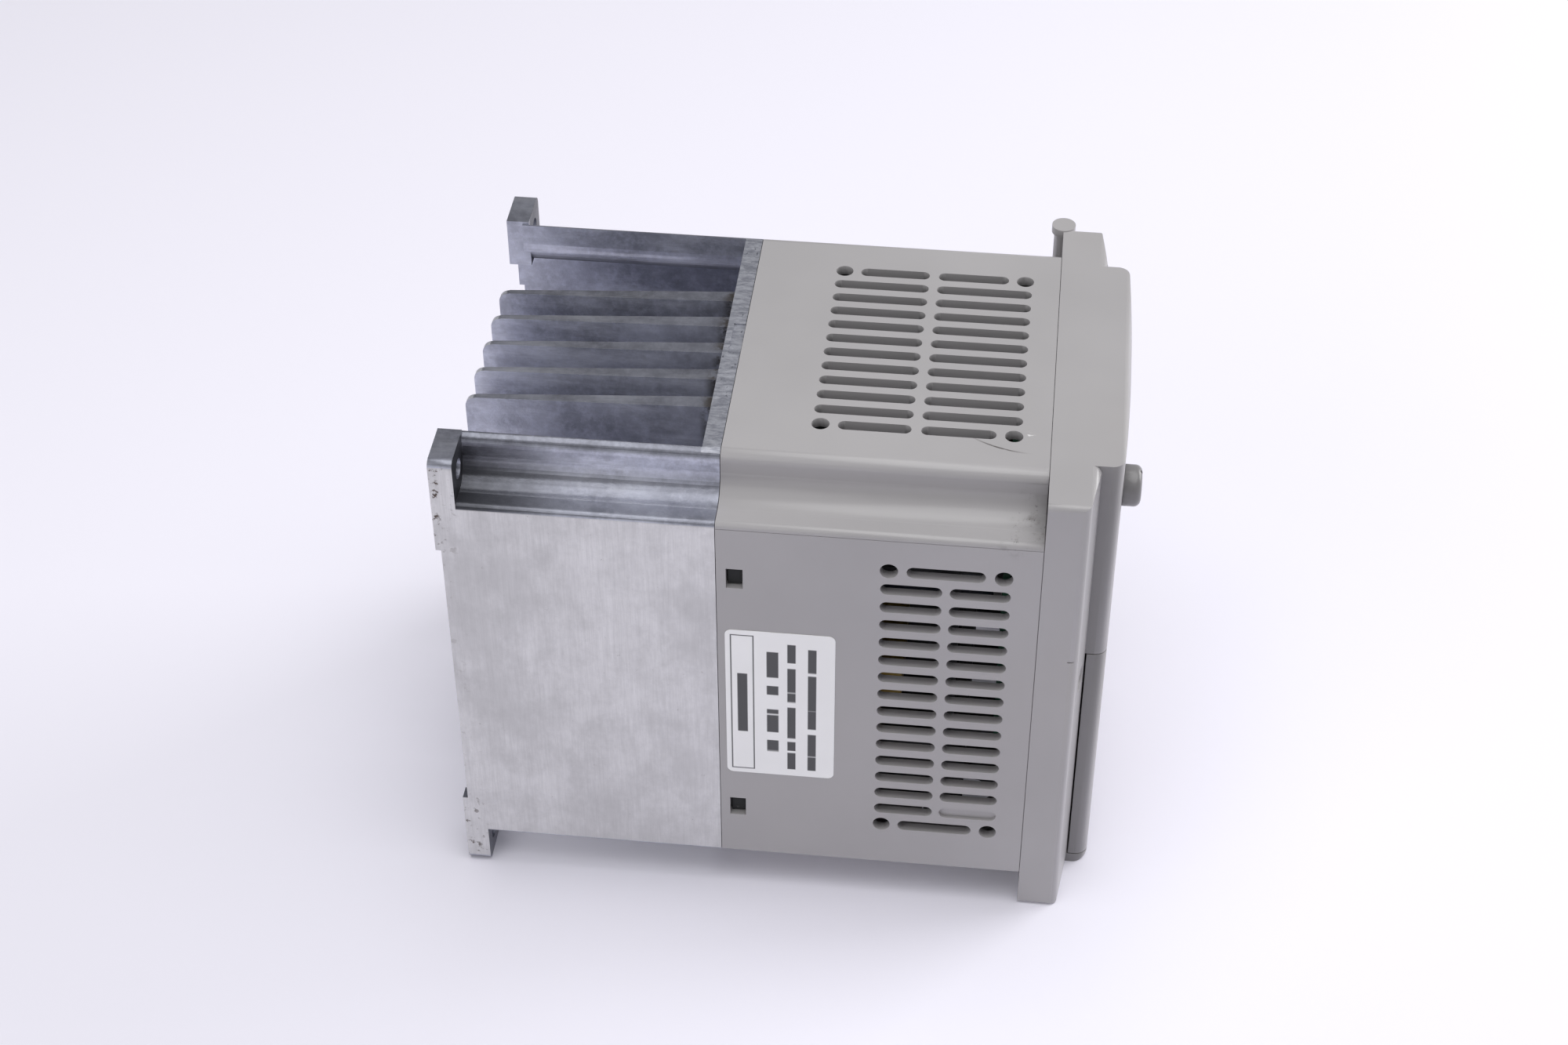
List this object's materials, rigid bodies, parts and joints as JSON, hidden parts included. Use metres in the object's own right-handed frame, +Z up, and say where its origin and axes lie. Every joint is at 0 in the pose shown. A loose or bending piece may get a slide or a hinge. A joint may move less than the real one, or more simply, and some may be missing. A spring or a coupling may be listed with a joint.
{
  "type": "compact motor drive",
  "caption": "Compact wall-mounted motor drive with a finned cast heat sink, vented plastic housing, hinged front cover, keypad door and speed knob.",
  "frame": {"origin": "centre of the pattern of four mounting holes, on the rear mounting plane", "axes": "+Y points out of the back towards the wall, along the object's depth, so the front cover faces -Y; +Z is up; +X is to the right as seen from the front"},
  "size_m": [0.1154, 0.1606, 0.1299],
  "materials": {
    "cast_alloy": "as-cast, blue-grey, machined on the outer side faces",
    "dark_plastic": "fine texture",
    "steel": "zinc plated",
    "pad": "soft, matt",
    "black_plastic": "moulded, matt",
    "tinned": "tinned",
    "board": "solder mask over glass fibre",
    "brass": "turned, nickel free",
    "capacitor_sleeve": "shrink sleeve over an aluminium can",
    "film_case": "epoxy filled box",
    "ferrite": "sintered, dark grey",
    "copper": "enamelled copper wire",
    "winding_tape": "polyester tape",
    "relay_case": "moulded, off-white",
    "red_lens": "clear red lens",
    "green_plastic": "moulded",
    "case_plastic": "warm light grey, fine spark texture",
    "label": "printed film, matt",
    "bezel_plastic": "dark overlay",
    "display_window": "red filter",
    "knob_plastic": "darker grey, moulded",
    "green_key": "moulded",
    "red_key": "moulded",
    "grey_key": "moulded"
  },
  "bodies": {
    "drive_body": {"heat_sink": "cast_alloy", "base_frame": "dark_plastic", "base_frame_screws": "steel", "thermal_pad": "pad", "power_module": "black_plastic", "module_screws": "steel", "module_pins": "tinned", "power_board": "board", "board_standoffs": "brass", "board_screws": "steel", "bus_capacitor_left": "capacitor_sleeve", "bus_capacitor_right": "capacitor_sleeve", "film_capacitor": "film_case", "choke_core": "ferrite", "choke_winding": "copper", "transformer_core": "ferrite", "transformer_bobbin": "winding_tape", "inrush_relay": "relay_case", "power_terminal_block": "black_plastic", "terminal_clamps": "tinned", "power_terminal_screws": "steel", "charge_lamp": "red_lens", "board_carrier": "dark_plastic", "control_board": "board", "control_board_screws": "steel", "microcontroller": "black_plastic", "control_terminal_block": "green_plastic", "control_terminal_screws": "steel", "board_link_header": "black_plastic", "operator_socket": "relay_case", "body_housing": "case_plastic", "cable_entry_plate": "dark_plastic", "side_label": "label"},
    "front_cover_body": {"front_cover": "case_plastic", "operator_bezel": "bezel_plastic", "display_window": "display_window", "display_module": "black_plastic", "status_lamps": "red_lens", "operator_board": "board", "operator_board_screws": "steel", "key_switches": "black_plastic", "operator_plug": "black_plastic", "potentiometer_body": "bezel_plastic"},
    "keypad_door_body": {"keypad_door": "case_plastic"},
    "speed_knob_body": {"speed_knob": "knob_plastic", "potentiometer_shaft": "steel"},
    "run_key_body": {"run_key": "green_key"},
    "stop_key_body": {"stop_key": "red_key"},
    "function_key_body": {"function_key": "grey_key"},
    "up_key_body": {"up_key": "grey_key"},
    "down_key_body": {"down_key": "grey_key"},
    "store_key_body": {"store_key": "grey_key"}
  },
  "joints": [
    {"name": "cover_hinge", "type": "hinge", "parent": "drive_body", "child": "front_cover_body", "pos_m": [0.0562, -0.1395, 0], "axis": [0, 0, 1], "range_deg": [0, 110]},
    {"name": "keypad_door_hinge", "type": "hinge", "parent": "front_cover_body", "child": "keypad_door_body", "pos_m": [0.0363, -0.15331, 0], "axis": [0, 0, 1], "range_deg": [0, 110]},
    {"name": "speed_knob_turn", "type": "hinge", "parent": "front_cover_body", "child": "speed_knob_body", "pos_m": [-0.031, -0.15635, 0.0528], "axis": [0, -1, 0], "range_deg": [-140, 140]},
    {"name": "run_key_press", "type": "slide", "parent": "front_cover_body", "child": "run_key_body", "axis": [0, 1, 0], "range_m": [0, 0.0006], "stiffness_N_per_m": 400, "springref_m": -0.0005},
    {"name": "stop_key_press", "type": "slide", "parent": "front_cover_body", "child": "stop_key_body", "axis": [0, 1, 0], "range_m": [0, 0.0006], "stiffness_N_per_m": 400, "springref_m": -0.0005},
    {"name": "function_key_press", "type": "slide", "parent": "front_cover_body", "child": "function_key_body", "axis": [0, 1, 0], "range_m": [0, 0.0006], "stiffness_N_per_m": 400, "springref_m": -0.0005},
    {"name": "up_key_press", "type": "slide", "parent": "front_cover_body", "child": "up_key_body", "axis": [0, 1, 0], "range_m": [0, 0.0006], "stiffness_N_per_m": 400, "springref_m": -0.0005},
    {"name": "down_key_press", "type": "slide", "parent": "front_cover_body", "child": "down_key_body", "axis": [0, 1, 0], "range_m": [0, 0.0006], "stiffness_N_per_m": 400, "springref_m": -0.0005},
    {"name": "store_key_press", "type": "slide", "parent": "front_cover_body", "child": "store_key_body", "axis": [0, 1, 0], "range_m": [0, 0.0006], "stiffness_N_per_m": 400, "springref_m": -0.0005}
  ]
}
